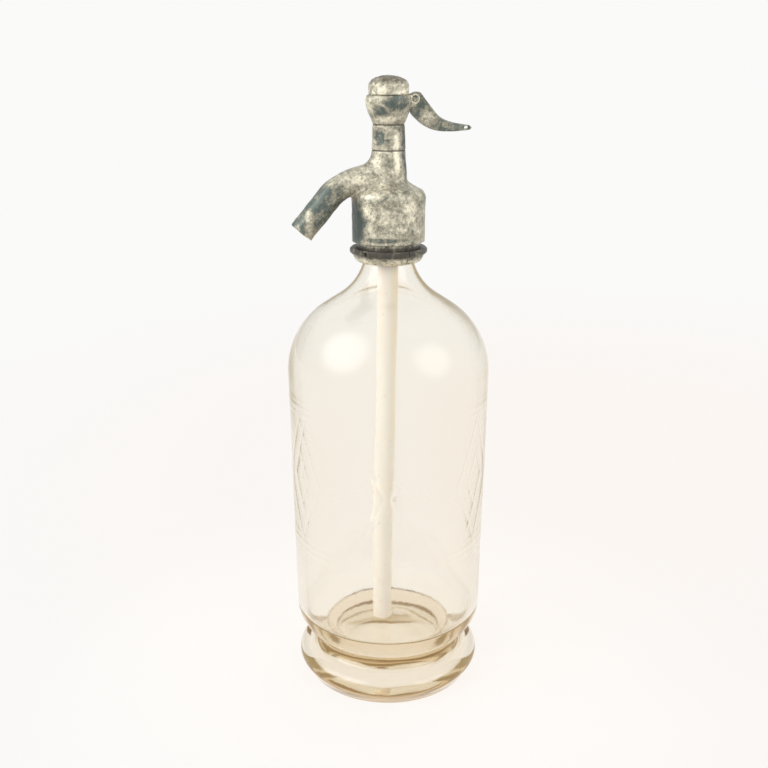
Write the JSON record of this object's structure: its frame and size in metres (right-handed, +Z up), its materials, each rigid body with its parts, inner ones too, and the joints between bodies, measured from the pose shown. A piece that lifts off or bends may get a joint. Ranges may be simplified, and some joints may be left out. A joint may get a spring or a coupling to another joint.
{
  "type": "soda siphon",
  "caption": "Glass soda siphon with a cast metal head, a curved side spout and a sprung thumb lever that lifts the valve.",
  "frame": {"origin": "centre of the foot, on the surface that the siphon stands on", "axes": "+Z up along the bottle's axis, +X towards the lever, -X towards the spout"},
  "size_m": [0.098, 0.098, 0.2992],
  "materials": {
    "bottle_glass": "clear, pale straw tint",
    "pewter": "old pewter with dark pits and patina",
    "collar_metal": "worn grey metal",
    "brass": "turned, dull",
    "spring_steel": "drawn wire",
    "rubber": "matt",
    "fibre": "pressed fibre",
    "tube_plastic": "aged, cream, slightly see-through"
  },
  "bodies": {
    "siphon": {"glass_bottle": "bottle_glass", "collar_front": "collar_metal", "collar_back": "collar_metal", "collar_liner": "fibre", "neck_gasket": "rubber", "head_casting": "pewter", "tube_holder": "brass", "tube_seal": "rubber", "dip_tube": "tube_plastic", "valve_seat": "brass", "packing_washer": "brass", "stem_packing": "fibre", "packing_gland": "brass", "cap_gasket": "fibre", "top_cap": "pewter", "lever_pin": "brass"},
    "lever": {"lever": "pewter"},
    "valve": {"valve_stem": "brass", "valve_washer": "rubber", "washer_screw": "brass", "return_spring": "spring_steel"}
  },
  "joints": [
    {"name": "lever_hinge", "type": "hinge", "parent": "siphon", "child": "lever", "pos_m": [0.0115, 0, 0.289], "axis": [0, 1, 0], "range_deg": [0, 15]},
    {"name": "valve_lift", "type": "slide", "parent": "siphon", "child": "valve", "axis": [0, 0, 1], "range_m": [0, 0.00306], "stiffness_N_per_m": 2000, "springref_m": -0.001, "deforming": ["return_spring"]}
  ],
  "couplings": [
    {"joint": "lever_hinge", "follows": "valve_lift", "rad_per_m": 85.5}
  ]
}
